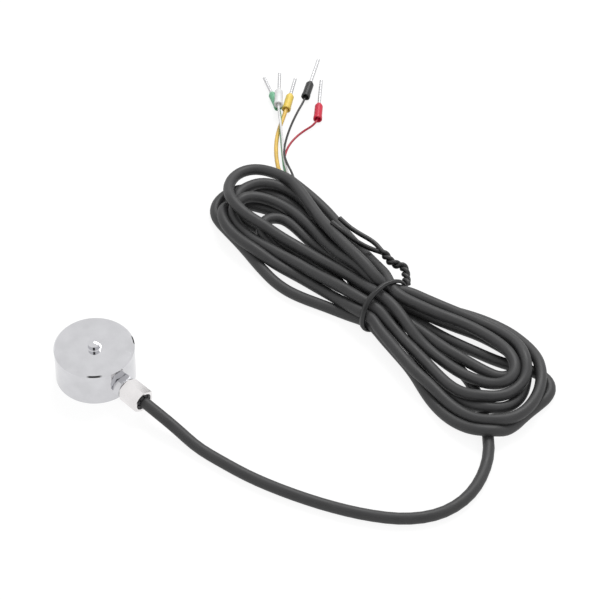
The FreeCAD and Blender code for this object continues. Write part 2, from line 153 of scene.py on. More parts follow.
def vary_colour(material, noise, colour, vary):
    """Clouds of a slightly darker and a slightly lighter tone."""
    node = add_node(material, "ShaderNodeMix", data_type="RGBA")
    node.inputs[MIX_FIRST].default_value = (*(part * (1 - vary) for part in colour), 1.0)
    node.inputs[MIX_SECOND].default_value = (*(min(1.0, part * (1 + vary)) for part in colour), 1.0)
    connect(material, spread(material, noise, 0.0, 1.0), node.inputs["Factor"])
    connect(material, node.outputs[MIX_RESULT], main_shader(material).inputs["Base Color"])


def vary_gloss(material, noise, low, high):
    """Patches of more and of less gloss."""
    connect(material, spread(material, noise, low, high), main_shader(material).inputs["Roughness"])


def add_relief(material, noise, strength, depth):
    """A fine relief of a depth in metres."""
    node = add_node(material, "ShaderNodeBump", Strength=strength, Distance=depth)
    connect(material, noise, node.inputs["Height"])
    connect(material, node.outputs["Normal"], main_shader(material).inputs["Normal"])


print("noise is read between", NOISE_LOW, "and", NOISE_HIGH)

# %% [markdown]
# The cable's rubber jacket, the tie's coat and the claws in the gland come out of a die or a mould with a
# fine grain, which takes the edge off their gloss. Each could have nodes of its own, but they differ only
# in colour, gloss and grain, so one helper makes them all. Black rubber isn't quite black: at 3% it still
# shows its round form.

# %% Plastic and rubber
GRAIN_DETAIL, CLOUD_DETAIL = 4.0, 2.0
CLOUD_WIDTH = 25
GLOSS_CHANGE = 0.05
GRAIN_STRENGTH = 0.3


def plastic(name, colour, roughness, grain=9000.0, depth=0.00002, vary=0.12):
    """Moulded or extruded plastic, with clouds of tone some 25 times as wide as its grain."""
    material = new_material(name, colour, roughness)
    fine = place_noise(material, grain, GRAIN_DETAIL)
    broad = place_noise(material, grain / CLOUD_WIDTH, CLOUD_DETAIL)
    vary_colour(material, broad, colour, vary)
    vary_gloss(material, broad, roughness - GLOSS_CHANGE, roughness + GLOSS_CHANGE)
    add_relief(material, fine, GRAIN_STRENGTH, depth)
    return material


jacket = plastic("cable_jacket", (0.033, 0.033, 0.034), 0.52, grain=7000.0, depth=0.00003, vary=0.2)
tie_black = plastic("tie_black", (0.009, 0.009, 0.0095), 0.36, grain=5000.0, depth=0.00006, vary=0.3)
claw_black = plastic("claw_black", (0.018, 0.018, 0.02), 0.45)
seal_black = plastic("seal_black", (0.03, 0.03, 0.03), 0.7)
pad_grey = plastic("pad_grey", (0.3, 0.3, 0.32), 0.7)
board_green = plastic("board_green", (0.05, 0.22, 0.1), 0.4)
resistor_black = plastic("resistor_black", (0.03, 0.03, 0.03), 0.5)
print(len(bpy.data.materials), "materials with the plastics")

# %% [markdown]
# The body is turned and polished until it mirrors the room: mostly white, and dark where the camera
# stands. A light grey paint would come near its tone, but it would stay flat. A metallic shader with
# hardly any roughness mirrors as the steel does. The nut is satin: it scatters the same light and looks
# whiter. The ferrules' pins are dull tinned copper.

# %% Metal
TONE_SCALE, MARK_SCALE = 220.0, 6000.0
TONE_DETAIL, MARK_DETAIL = 2.0, 3.0
TONE_CHANGE = 0.05
SMOOTHER, ROUGHER = 0.8, 1.25
MARK_STRENGTH = 0.25


def metal(name, colour, roughness, depth=0.000004):
    """Bare metal, with fine marks in its gloss and a slight change of tone."""
    material = new_material(name, colour, roughness, 1.0)
    vary_colour(material, place_noise(material, TONE_SCALE, TONE_DETAIL), colour, TONE_CHANGE)
    marks = place_noise(material, MARK_SCALE, MARK_DETAIL)
    vary_gloss(material, marks, roughness * SMOOTHER, roughness * ROUGHER)
    add_relief(material, marks, MARK_STRENGTH, depth)
    return material


polished = metal("polished_steel", (0.62, 0.62, 0.64), 0.05, depth=0.000001)
turned_steel = metal("turned_steel", (0.56, 0.56, 0.57), 0.25)
flange_steel = metal("flange_steel", (0.60, 0.60, 0.62), 0.12)
nut_steel = metal("nut_steel", (0.82, 0.8, 0.8), 0.2)
tinned = metal("tinned_copper", (0.58, 0.58, 0.59), 0.42)
solder = metal("solder", (0.7, 0.7, 0.7), 0.25)
copper = metal("copper_wire", (0.72, 0.4, 0.25), 0.3)
gauge_foil = metal("gauge_foil", (0.6, 0.48, 0.3), 0.35)
print(len(bpy.data.materials), "materials with the metals")

# %% [markdown]
# Each of the five wires has its own colour, and its ferrule a plastic collar in nearly the same colour,
# only a little stronger. Ten materials could be written out one by one. But the names of the colours also
# name the CAD nodes, so two tables and one loop dress all five.

# %% Colours of the wires and collars
WIRE_ROUGHNESS, COLLAR_ROUGHNESS = 0.35, 0.4
wire_colours = {
    "black": (0.018, 0.018, 0.018), "red": (0.46, 0.012, 0.04), "yellow": (0.84, 0.55, 0.11),
    "white": (0.82, 0.82, 0.82), "green": (0.2, 0.5, 0.3),
}
collar_colours = {
    "black": (0.014, 0.014, 0.014), "red": (0.68, 0.012, 0.05), "yellow": (0.9, 0.66, 0.12),
    "white": (0.86, 0.86, 0.86), "green": (0.24, 0.62, 0.38),
}
wire_materials = {name: plastic("insulation_" + name, colour, WIRE_ROUGHNESS)
                  for name, colour in wire_colours.items()}
collar_materials = {name: plastic("collar_" + name, colour, COLLAR_ROUGHNESS)
                    for name, colour in collar_colours.items()}
print(len(wire_materials), "insulations,", len(collar_materials), "collars")

# %% [markdown]
# The CAD model's nodes show as they are: body, gland, ferrules, and the gauges and the board inside. A
# node could be copied and refined here, but its edges are already broken and its faces fine enough, so
# each only gets its material.

# %% CAD nodes
GAUGE_COUNT = 4
cad_materials = {
    "body": polished, "base_cover": turned_steel, "gland_fitting": flange_steel,
    "gland_nut": nut_steel, "gland_seal": seal_black, "gland_claws": claw_black,
    "cable_in_gland": jacket, "board_pad": pad_grey, "terminal_board": board_green,
    "solder_joints": solder, "gauge_jumpers": copper, "bridge_resistors": resistor_black,
}
for index in range(GAUGE_COUNT):
    cad_materials[f"strain_gauge_{index + 1}"] = gauge_foil
for name in wire_colours:
    cad_materials["core_" + name] = wire_materials[name]
    cad_materials["ferrule_collar_" + name] = collar_materials[name]
    cad_materials["ferrule_pin_" + name] = tinned
for node_name, material in cad_materials.items():
    node_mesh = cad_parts[node_name].data
    node_mesh.materials.clear()
    node_mesh.materials.append(material)
print(len(cad_materials), "CAD nodes dressed")

# %% [markdown]
# A cord in Blender is a curve with a round bevel. A NURBS curve of a low order follows its control points
# closely and has no corners. Its length matters, because a cable is a fixed length of something, so a
# second helper reads points along the curve and a third adds up the way between them.

# %% Cords
CORD_ORDER, CORD_SIDES = 3, 7


def cord_curve(name, points, diameter, steps=6):
    """An open smooth line through the air, as thick as the cord."""
    curve = bpy.data.curves.new(name, "CURVE")
    curve.dimensions = "3D"
    spline = curve.splines.new("NURBS")
    spline.points.add(len(points) - 1)
    for control_point, place in zip(spline.points, points):
        control_point.co = (*place, 1.0)
    spline.order_u = CORD_ORDER
    spline.use_endpoint_u = True
    spline.resolution_u = steps
    curve.bevel_depth = diameter / 2
    curve.bevel_resolution = CORD_SIDES
    curve.use_fill_caps = True
    return curve


def cord_line(points):
    """Points read along the smooth line of these control points."""
    curve = cord_curve("line", points, 0.0, steps=12)
    holder = bpy.data.objects.new("line", curve)
    mesh = bpy.data.meshes.new_from_object(holder)
    line = [vertex.co.copy() for vertex in mesh.vertices]
    bpy.data.objects.remove(holder)
    bpy.data.curves.remove(curve)
    bpy.data.meshes.remove(mesh)
    return line


def line_length(points):
    """The way along the points."""
    return sum((b - a).length for a, b in zip(points, points[1:]))


test_line = cord_line([Vector((0.0, 0.0, 0.0)), Vector((0.3, 0.0, 0.0)), Vector((1.0, 0.0, 0.0))])
print("a straight metre of cord measures", round(line_length(test_line), 3), "m")

# %% [markdown]
# The cable is one line. It leaves the gland straight, sinks to the floor, lies there in a free bow, and
# is then folded to and fro in six turns through the tie. A simulation could fold a cord too, but not into
# the turns that the photograph shows. So each turn was traced there, as points of the picture,
# the bottom turn first. It goes out to the left and back, through the tie, out to the right and back, and
# no two turns are the same size. The lead is given in millimetres, in the CAD model's directions.

# %% The cable as traced
CABLE = 2.9 * MM
lead_route = [
    (18.2, 0, 4.1), (23.0, 0.0, 4.1), (29.0, 0.7, 2.7), (36.0, 0.9, 1.45), (43.6, 2.1, 1.45),
    (52.0, 3.7, 1.45), (61.5, 6.8, 1.45), (70.8, 10.7, 1.45), (79.4, 15.4, 1.45), (86.8, 21.0, 1.45),
    (91.6, 28.2, 1.45), (92.6, 36.6, 1.45), (90.0, 45.0, 1.45), (84.6, 52.8, 1.45), (77.4, 59.0, 1.45),
]
way_in_px = [
    (485, 417), (475, 389), (460, 369), (441, 349), (419, 331), (398, 318),
]
left_lobes_px = [
    [(360, 291), (349, 268), (341, 252), (330, 239), (317, 225), (305, 212), (293, 202), (280, 195),
     (265, 190.5), (250, 188.5), (236, 190), (225.5, 195), (218, 202), (216, 209), (218.5, 217.5),
     (226, 228.5), (237, 240), (249, 253), (259, 264), (270, 278), (285, 290), (302, 298), (322, 305),
     (346, 314)],
    [(367, 284), (350, 262), (334, 247), (320, 239.5), (307, 231.5), (296, 223.5), (284, 215.5),
     (270, 210), (256, 206), (243, 202), (232, 201.5), (223, 205.5), (219.5, 213.5), (223, 222.5),
     (231, 232), (243, 242.5), (258, 252.5), (275, 264), (297, 275), (317, 287), (338, 300),
     (353, 310.5)],
    [(376, 288), (362, 276), (347, 257), (333, 240), (322, 226), (313, 214), (304, 203), (295, 195.5),
     (285, 189.5), (274, 185.5), (262, 184), (252, 185.5), (243, 189), (235, 194), (230.5, 200),
     (231, 207), (236, 214), (245, 222), (256, 229), (266, 235.5), (282, 245.5), (302, 257), (322, 269),
     (343, 286), (360, 302)],
    [(368, 278), (350, 265), (335, 257), (321, 248), (311, 240), (303, 232.5), (295, 225), (287, 219),
     (279, 216), (270, 216), (262, 219.5), (257.5, 226), (259, 234), (266, 242), (278, 251.5),
     (292, 261), (310, 271), (335, 284), (355, 296)],
    [(372, 274), (352, 261), (338, 250), (326, 240), (315, 230.5), (305, 221.5), (294, 213),
     (283, 205.5), (271, 200), (258, 196.5), (247, 195.5), (237, 197), (229.5, 201.5), (226, 207.5),
     (227.5, 214), (233, 221.5), (243, 231), (257.5, 241.5), (275, 251.5), (295.5, 262), (315.5, 274),
     (341, 286), (362, 299)],
    [(377, 276), (364, 264), (350, 250), (336, 236), (322, 221), (310, 205), (300, 192), (288, 181),
     (272, 172), (257, 168), (243, 170), (232.5, 177), (228, 187.5), (230, 198), (237, 207),
     (246, 214.5), (256, 221), (267, 227.5), (282, 237.5), (302, 248.5), (322, 260.5), (348, 273),
     (366, 285)],
]
right_lobes_px = [
    [(362, 322), (376, 333), (390, 346), (402, 359), (413, 372), (424, 390), (436, 407), (452, 421),
     (472, 430), (488, 433), (502, 432), (512, 427), (521, 418.5), (530, 411), (540, 404), (549, 397),
     (553.5, 390), (551, 381.5), (543, 375), (524, 368), (499, 362), (480, 354), (450, 341), (430, 331),
     (407, 318)],
    [(365, 320), (378, 331), (391, 343.5), (403, 358), (417, 374), (435, 390), (449, 404), (466, 416),
     (483, 423), (501, 424), (517, 418), (530, 407), (538, 395), (542, 380), (540, 365), (533, 353),
     (523, 344), (506, 333), (477, 323), (448, 315), (421, 308), (399, 300)],
    [(380, 312), (392, 325), (405, 341), (419, 359), (433, 377), (447, 391.5), (463, 402.5), (481, 409),
     (498, 410.5), (512, 406), (521, 397), (525, 385), (525, 371), (521, 357), (513, 345), (500, 334),
     (480, 325), (453, 316), (420, 304)],
    [(388, 310), (405, 321), (421, 334), (437, 345), (452, 354), (470, 363.5), (486, 372), (500, 379),
     (512, 381), (520, 376), (522, 367), (518, 358), (510, 351), (498, 344.5), (485, 337), (471, 330.5),
     (458, 326), (445, 320.5), (428, 314), (409, 306)],
    [(375, 307), (395, 329), (409, 344), (423, 359), (436, 373), (450, 387), (467, 397), (486, 401),
     (503, 397), (516, 388), (524, 376), (526, 363), (522, 349), (511, 338), (496, 329), (470, 318),
     (440, 308), (410, 294)],
    [(391, 302), (406, 320), (420, 338), (434, 352), (449, 365), (465, 375.5), (481, 382), (498, 386),
     (511, 384), (519, 376), (519, 365), (511, 353), (499, 342.5), (484, 333), (466, 323.5),
     (446, 314.5), (423, 305), (405, 295), (396, 286)],
]
way_out_px = [
    (385, 274), (371, 260), (357, 246), (346, 234), (334, 219), (324, 208.5), (312.5, 198),
    (301, 188.5), (291, 181),
]
print(len(left_lobes_px), "turns traced")

# %% [markdown]
# A picture point is a view line through the lens. Where that line meets the floor, the traced turn lies
# flat. A point that is lifted off the floor slides back along its own view line, so that it still shows
# at the same place in the picture: this is what lets a flat tracing become a pile.

# %% From the picture to the floor
def seen_on_floor(spot):
    """The point of the floor that shows at this picture point."""
    way = right * (spot[0] - PICTURE_PX / 2) - up * (spot[1] - PICTURE_PX / 2) - back * FOCAL_PX
    return tuple(camera_place - way * (camera_place.z / way.z))


def along_view(places, heights):
    """Slide points along the camera's view lines to new heights: the picture stays the same."""
    eye = np.array(camera_place)
    share = (heights - places[:, 2]) / (eye[2] - places[:, 2])
    return places + (eye - places) * share[:, None]


traced = list(way_in_px)
for left_lobe, right_lobe in zip(left_lobes_px, right_lobes_px):
    traced += left_lobe + right_lobe
traced += way_out_px
on_floor = np.array([seen_on_floor(spot) for spot in traced])
raised = along_view(on_floor, np.full(len(traced), CABLE / 2))
control = [Vector(place) * MM for place in lead_route] + [Vector(place) for place in raised]
planned = cord_line(control)
print("planned cable", round(line_length(planned), 3), "m from", len(control), "points")

# %% [markdown]
# Flat on the floor, the turns would run through each other. Real ones lie in a pile. So the line is cut
# into short steps, and in many small rounds its points fall, keep a cable's width apart, stay inside the
# tie and smooth out their own corners. Blender's soft bodies could do this too, but these few lines are
# quicker, give the same pile each time and keep to the view lines. The first 95 mm, most of the lead, stay
# as they are, and the hank begins at 125 mm.

# %% Steps along the cable
STEP = 1.5 * MM
LEAD_FIXED = 0.095
HANK_STARTS = 0.125
TAIL_RUN = 42 * MM
PILE_RISE = 6.2
NEIGHBOURS = 3 * CABLE
TINY, SMALL = 1e-12, 1e-9


def even_points(points, step):
    """Points at even steps along a line."""
    places = np.array([tuple(point) for point in points])
    run = np.concatenate([[0], np.cumsum(np.linalg.norm(np.diff(places, axis=0), axis=1))])
    at = np.linspace(0, run[-1], int(round(run[-1] / step)) + 1)
    return np.column_stack([np.interp(at, run, places[:, axis]) for axis in range(3)])


def loose_pile(start):
    """The traced line with each turn lifted above the one before. Its tail goes under the last turn."""
    count = len(start)
    order = np.arange(count)
    pile = np.clip((order * STEP - HANK_STARTS) / (count * STEP - HANK_STARTS), 0, 1) * PILE_RISE * MM
    pile *= np.clip((count - order) * STEP / TAIL_RUN, 0, 1)
    return along_view(start, np.maximum(start[:, 2], CABLE / 2 + pile))


start = even_points(planned, STEP)
run_there = np.arange(len(start)) * STEP
free = (run_there > LEAD_FIXED).astype(float)
coil = run_there > HANK_STARTS
cable = loose_pile(start)
print(len(start), "points,", int(free.sum()), "free to move,", int(coil.sum()), "in the hank")

# %% [markdown]
# Two points of the cable that are closer than its thickness, and aren't neighbours along it, are two turns
# inside each other. Each is pushed away by almost half of what is missing. While the pile still forms,
# the later turn is also pushed up, because it was laid on top. The tail is pushed down, because it was
# tucked under the last turn. A thousand points make half a million pairs. To look through them all each
# time would be slow, so the near ones are picked out only every eighth round.

# %% Turns keep apart
PUSH = 0.45


def near_pairs(cable, reach):
    """Pairs of cable points closer than reach that aren't neighbours along the cable."""
    squares = (cable ** 2).sum(1)
    distance = squares[:, None] + squares[None] - 2 * cable @ cable.T
    order = np.arange(len(cable))
    apart = int(NEIGHBOURS / STEP) + 1
    return np.where((distance < reach ** 2) & (order[:, None] - order[None] > apart))


def keep_apart(cable, pairs, climb):
    """Push touching points apart; the later one climbs over the earlier, but the tail goes under."""
    first, second = pairs
    between = cable[first] - cable[second]
    between[:, 2] += np.where(first < len(cable) - TAIL_RUN / STEP, climb, -climb)
    distance = np.linalg.norm(between, axis=1) + TINY
    hit = distance < CABLE
    first, second, between, distance = first[hit], second[hit], between[hit], distance[hit]
    push = between / distance[:, None] * (CABLE - distance)[:, None] * PUSH
    share = free[first] / (free[first] + free[second] + SMALL)
    move = np.zeros_like(cable)
    count = np.zeros(len(cable))
    np.add.at(move, first, push * share[:, None])
    np.add.at(move, second, -push * (1 - share)[:, None])
    np.add.at(count, first, 1)
    np.add.at(count, second, 1)
    return cable + move / np.sqrt(np.maximum(count, 1))[:, None]


print(len(near_pairs(cable, CABLE)[0]), "pairs of points touch before the turns settle")

# %% [markdown]
# A limp cable folds, but not to a corner. The tightest folds in the photograph have a radius of 1.3 to
# 2.1 diameters. Smoothing alone could open them, but it would flatten every other bend as well. So only
# where the line bends tighter than two diameters, its point is drawn towards the middle of its
# neighbours.

# %% No fold too tight
TIGHTEST_FOLD = 2 * CABLE
EASE = 0.5


def ease_bends(cable):
    """Open what bends tighter than this cable folds."""
    sag = (cable[:-2] + cable[2:]) / 2 - cable[1:-1]
    size = np.linalg.norm(sag, axis=1) + TINY
    excess = np.clip(1 - STEP ** 2 / (2 * TIGHTEST_FOLD) / size, 0, 1)
    cable[1:-1] += EASE * (free[1:-1] * excess)[:, None] * sag
    return cable


print("folds open to a radius of", round(TIGHTEST_FOLD / MM, 1), "mm")

# %% [markdown]
# The tie is drawn tight round the waist, and gathers all thirteen strands into a section of 14 by 9 mm.
# Its way round them was measured in the photograph, in the hank's own directions: along it, across it and
# up. The tie could be a wall of faces that the cable bumps into, but a section with straight sides is
# quicker to test. Any point of the cable under the tie that strays past a side is put back inside.

# %% Strands stay inside the tie
HANK_X, HANK_Y, HANK_ANGLE = 35.0 * MM, 64.0 * MM, math.radians(8.0)
tie_way = [
    (3.2, 7.3, 5.2), (2.9, 7.15, 7.2), (2.3, 6.4, 8.8), (1.4, 4.8, 9.7), (0.25, 2.2, 9.9),
    (-0.1, -0.6, 9.7), (-0.3, -3.2, 9.0), (-0.15, -5.3, 7.8), (0.15, -6.6, 6.2), (0.2, -7.1, 4.2),
    (0.45, -7.05, 2.4), (1.15, -6.4, 1.1), (1.8, -4.8, 0.5), (2.2, 0.0, 0.45), (2.6, 4.8, 0.5),
    (2.9, 6.6, 1.1), (3.1, 7.2, 2.8),
]
TIE_INSIDE = 0.25 * MM
TIE_FROM, TIE_TO = -1.2 * MM, 3.6 * MM


def on_hank(along, across):
    """A point in the hank's own directions, in the object's."""
    cosine, sine = math.cos(HANK_ANGLE), math.sin(HANK_ANGLE)
    return (HANK_X + along * cosine - across * sine, HANK_Y + along * sine + across * cosine)


def across_hank(places):
    """The hank's own directions of many points."""
    cosine, sine = math.cos(HANK_ANGLE), math.sin(HANK_ANGLE)
    x, y = places[:, 0] - HANK_X, places[:, 1] - HANK_Y
    return x * cosine + y * sine, y * cosine - x * sine


def hold_in_tie(cable):
    """Keep the points at the waist inside the tie's section."""
    along, across = across_hank(cable)
    held = (along > TIE_FROM) & (along < TIE_TO) & coil
    spots = np.column_stack([across[held], cable[held, 2]])
    section = np.array(tie_way)[:, 1:] * MM
    for corner, following in zip(section, np.roll(section, -1, axis=0)):
        edge = (following - corner) / np.linalg.norm(following - corner)
        inward = np.array([-edge[1], edge[0]])
        lack = np.maximum(CABLE / 2 + TIE_INSIDE - (spots - corner) @ inward, 0)
        spots += lack[:, None] * inward
    x, y = on_hank(along[held], spots[:, 0])
    cable[held] = np.column_stack([x, y, spots[:, 1]])
    return cable


print("tie's way from", len(tie_way), "points")

# %% [markdown]
# Each round lets the pile down a little. Then it smooths the heights and whatever has strayed from the
# traced picture, and draws the strays back to their view lines, so the turns stay where the photograph
# shows them. The pushing comes last in a round, so that the pile ends with its contacts. The last rounds
# are calm, with smaller falls, more pushing and no climbing.

# %% The pile settles
ROUNDS = 480
CALM_FROM = 0.7
PAIRS_EVERY = 8
PAIR_MARGIN = 1.6 * MM
FALL, CALM_FALL = 0.04 * MM, 0.01 * MM
CLIMB, CALM_CLIMB = 0.8 * MM, 0.0
PUSHES, CALM_PUSHES = 3, 6
SMOOTHING_PASSES = 2
SMOOTHING = 0.35
PULL_BACK = 0.05


def fall_and_smooth(cable, fall):
    """Let the cable down by one small step, and round off its corners."""
    cable[:, 2] -= fall * free
    stray = cable - along_view(start, cable[:, 2])
    stray[:, 2] = cable[:, 2]
    for _ in range(SMOOTHING_PASSES):
        middle = (stray[:-2] + stray[2:]) / 2
        stray[1:-1] += SMOOTHING * free[1:-1, None] * (middle - stray[1:-1])
    stray[:, :2] *= (1 - PULL_BACK * free)[:, None]
    cable = along_view(start, stray[:, 2])
    cable[:, :2] += stray[:, :2]
    return cable


for step in range(ROUNDS):
    calm = step > ROUNDS * CALM_FROM
    if step % PAIRS_EVERY == 0:
        pairs = near_pairs(cable, CABLE + PAIR_MARGIN)
    cable = fall_and_smooth(cable, CALM_FALL if calm else FALL)
    for _ in range(CALM_PUSHES if calm else PUSHES):
        cable = ease_bends(cable)
        cable = keep_apart(cable, pairs, CALM_CLIMB if calm else CLIMB)
        cable[:, 2] = np.where(free > 0, np.maximum(cable[:, 2], CABLE / 2), cable[:, 2])
        cable = hold_in_tie(cable)

first, second = near_pairs(cable, CABLE)
deep = CABLE - np.linalg.norm(cable[first] - cable[second], axis=1)
print("settled:", len(deep), "touching pairs, deepest", round(float(deep.max()) / MM, 2), "mm,",
      "highest", round(float(cable[:, 2].max()) / MM, 2), "mm")

# %% [markdown]
# The settled points become the cable: one curve with one round section, which stands for the lead and the
# hank of the CAD model. The lead keeps its few control points, and the hank takes every second point,
# which is close enough for its folds and keeps the mesh light.

# %% Cable
LEAD_KEPT = 0.124
EVERY = 2
CABLE_STEPS = 3


def add_piece(name, data, material):
    """A new piece in the scene, on the one body, in its material."""
    piece = bpy.data.objects.new(name, data)
    bpy.context.scene.collection.objects.link(piece)
    data.materials.append(material)
    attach(piece, "root")
    return piece


coil_points = [Vector(place) for place in cable[int(LEAD_KEPT / STEP)::EVERY]]
cable_route = [Vector(place) * MM for place in lead_route[:-1]] + coil_points
cable_curve = cord_curve("cable", cable_route, CABLE, CABLE_STEPS)
cable_piece = add_piece("cable", cable_curve, jacket)
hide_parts("cable_lead", "cable_hank")
cable_length = line_length(cord_line(cable_route))
print("cable length", round(cable_length, 4), "m from", len(cable_route), "points")

# %% [markdown]
# The twist tie is a thin steel wire in a flat plastic coat, with a low ridge where the wire runs. A curve
# with a bevel object could carry that section, but it turns about its way as it likes. So a ring of
# vertices in the shape of the section is set across the way at each place, square to it, and bridge_loops
# joins each ring to the next, the last one to the first.

# %% Tie band
BAND_PARTS = 7
band_profile = [
    (-0.72, -0.2), (-0.55, -0.34), (0.55, -0.34), (0.72, -0.2), (0.72, 0.1), (0.55, 0.24), (0.3, 0.27),
    (0.18, 0.4), (-0.18, 0.4), (-0.3, 0.27), (-0.55, 0.24), (-0.72, 0.1),
]


def hank_point(along, across, height):
    """A place in the hank's own directions, in millimetres, as a point of the object."""
    x, y = on_hank(along * MM, across * MM)
    return Vector((x, y, height * MM))


def smooth_loop(places, parts):
    """A closed smooth line through the places, a Catmull-Rom spline."""
    line = []
    count = len(places)
    for index in range(count):
        before, here, after, beyond = (np.array(places[(index + turn) % count]) for turn in (-1, 0, 1, 2))
        for step in range(parts):
            t = step / parts
            line.append(0.5 * (2 * here + (after - before) * t
                               + (2 * before - 5 * here + 4 * after - beyond) * t ** 2
                               + (3 * here - before - 3 * after + beyond) * t ** 3))
    return line


def tie_band_mesh():
    """The flat ridged band, closed round the waist."""
    loop = smooth_loop(tie_way, BAND_PARTS)
    mesh = bmesh.new()
    rings = []
    for index, (along, across, height) in enumerate(loop):
        before, after = loop[index - 1], loop[(index + 1) % len(loop)]
        out = Vector((after[2] - before[2], before[1] - after[1])).normalized()
        ring = [mesh.verts.new(hank_point(along + width, across + out.x * thick, height + out.y * thick))
                for width, thick in band_profile]
        rings.append([mesh.edges.new(pair) for pair in zip(ring, ring[1:] + ring[:1])])
    for ring, following in zip(rings, rings[1:] + rings[:1]):
        bmesh.ops.bridge_loops(mesh, edges=ring + following)
    bmesh.ops.recalc_face_normals(mesh, faces=mesh.faces)
    print("tie band", len(mesh.faces), "faces, open edges", sum(edge.is_boundary for edge in mesh.edges))
    data = bpy.data.meshes.new("tie_band")
    mesh.to_mesh(data)
    mesh.free()
    for face in data.polygons:
        face.use_smooth = True
    return data


tie_band = add_piece("tie_band", tie_band_mesh(), tie_black)
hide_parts("twist_tie")

# %% [markdown]
# The tie's two ends are twisted round each other to a short stub, and then spread. A screw modifier could
# twist two strands round a straight axis, but this stub bends. So two curves circle its bent middle line,
# half a turn apart, and each runs on into its own free tail.

# %% Tie ends
STRAND = 1.25 * MM
TWIST_PITCH = 4.2 * MM
TWIST_SHARE = 0.42
tie_stub = [
    (2.9, 7.9, 6.9), (2.2, 9.0, 6.4), (1.0, 10.4, 6.3), (-0.6, 12.3, 6.3), (-2.2, 13.1, 6.3),
    (-3.6, 12.4, 6.3), (-5.2, 12.3, 6.3), (-6.9, 13.0, 6.4), (-8.8, 13.8, 6.5),
]
tie_tails = [
    [(-12.4, 14.9, 7.0), (-17.5, 14.6, 7.4), (-21.0, 14.8, 7.7), (-24.0, 15.5, 8.0)],
    [(-12.4, 11.9, 7.3), (-16.8, 11.0, 8.7), (-20.3, 10.7, 10.4), (-23.4, 11.4, 10.1)],
]


def twisted_strand(line, phase):
    """Points that wind round a line, one turn per pitch."""
    points = []
    run = 0.0
    for here, after in zip(line, line[1:]):
        way = (after - here).normalized()
        side = way.cross(Vector((0, 0, 1))).normalized()
        lift = side.cross(way)
        turn = run / TWIST_PITCH * 2 * math.pi + phase
        points.append(here + (side * math.cos(turn) + lift * math.sin(turn)) * STRAND * TWIST_SHARE)
        run += (after - here).length
    return points


stub_line = cord_line([hank_point(*place) for place in tie_stub])
for strand, tail in enumerate(tie_tails):
    points = twisted_strand(stub_line, math.pi * strand) + [hank_point(*place) for place in tail]
    name = f"tie_end_{strand + 1}"
    add_piece(name, cord_curve(name, points, STRAND), tie_black)

# %% [markdown]
# Five insulated wires leave the jacket's cut end, under the top turn, and each ends in its crimped
# ferrule, which is a CAD node. The yellow one wears a thicker sleeve. They could settle as the cable does,
# but they lie in the open, so a few points each, in millimetres, place them as the photograph shows them.
# The last two lie on the ferrule's axis, one in front of the collar and one inside it, so that the wire
# goes in straight.

# %% Wires
WIRE = 0.6 * MM
SLEEVE = 1.1 * MM
LEAD_IN, SEAT = 1.5 * MM, 1.2 * MM
wire_routes = {
    "black": [(-12.6, 81.2, 1.7), (-15.1, 82.6, 2.4), (-18.1, 83.8, 2.6), (-21.1, 85.4, 2.6),
              (-23.7, 87.7, 2.2), (-26.8, 91.6, 1.5), (-30.2, 96.7, 0.8), (-33.0, 102.0, 0.6)],
    "red": [(-12.6, 80.2, 0.9), (-17.6, 82.6, 0.25), (-21.9, 85.8, 0.25), (-25.2, 90.4, 0.25),
            (-26.6, 96.2, 0.25)],
    "yellow": [(-12.8, 79.6, 1.0), (-17.8, 80.9, 0.5), (-22.4, 83.8, 0.5), (-27.0, 87.8, 0.5),
               (-30.7, 92.1, 0.5)],
    "white": [(-12.7, 80.2, 2.2), (-17.0, 82.4, 1.9), (-21.7, 85.6, 2.1), (-26.7, 90.0, 2.0),
              (-30.9, 93.4, 2.8)],
    "green": [(-12.8, 79.9, 1.6), (-17.6, 82.1, 0.85), (-22.5, 86.1, 0.75), (-27.8, 90.6, 0.8),
              (-32.2, 94.6, 1.8)],
}
ferrule_mouths = {
    "black": (-35.0, 106.7, 1.2), "red": (-26.4, 102.9, 1.2), "yellow": (-35.1, 99.5, 1.2),
    "white": (-36.0, 97.5, 3.65), "green": (-37.1, 98.6, 1.2),
}
ferrule_tips = {
    "black": (-44.5, 121.7, 1.2), "red": (-39.3, 117.3, 1.2), "yellow": (-42.1, 109.7, 1.2),
    "white": (-43.8, 105.4, 3.65), "green": (-49.3, 104.4, 1.2),
}
for name, route in wire_routes.items():
    mouth = Vector(ferrule_mouths[name]) * MM
    way = (Vector(ferrule_tips[name]) * MM - mouth).normalized()
    points = [Vector(place) * MM for place in route] + [mouth - way * LEAD_IN, mouth + way * SEAT]
    width = SLEEVE if name == "yellow" else WIRE
    piece = add_piece("wire_line_" + name, cord_curve("wire_line_" + name, points, width),
                      wire_materials[name])
    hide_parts("wire_" + name)
    length = line_length(cord_line(points))
    print("wire", name, round(length / MM, 1), "mm")

# %% [markdown]
# The object stands on white. A white floor could be lit until it is white, but then the lamps would be
# too bright for the object. So the floor is a grey that keeps the shadow, and adds a white glow that only
# shows, directly or mirrored in the polished metal, and lights nothing.

# %% Floor
FLOOR_REACH = 4.0
FLOOR_GREY, FLOOR_ROUGHNESS = 0.19, 0.9
FLOOR_GLOW = 0.86
WHITE, BLACK = (1.0, 1.0, 1.0, 1.0), (0.0, 0.0, 0.0, 1.0)


def rays_that_see(owner, rays):
    """1 for a ray of the camera's, a mirrored one or one through glass, and 0 for one that gives light."""
    or_mirrored = add_node(owner, "ShaderNodeMath", operation="MAXIMUM")
    or_through = add_node(owner, "ShaderNodeMath", operation="MAXIMUM")
    connect(owner, rays.outputs["Is Camera Ray"], or_mirrored.inputs[0])
    connect(owner, rays.outputs["Is Glossy Ray"], or_mirrored.inputs[1])
    connect(owner, or_mirrored.outputs[0], or_through.inputs[0])
    connect(owner, rays.outputs["Is Transmission Ray"], or_through.inputs[1])
    return or_through.outputs[0]


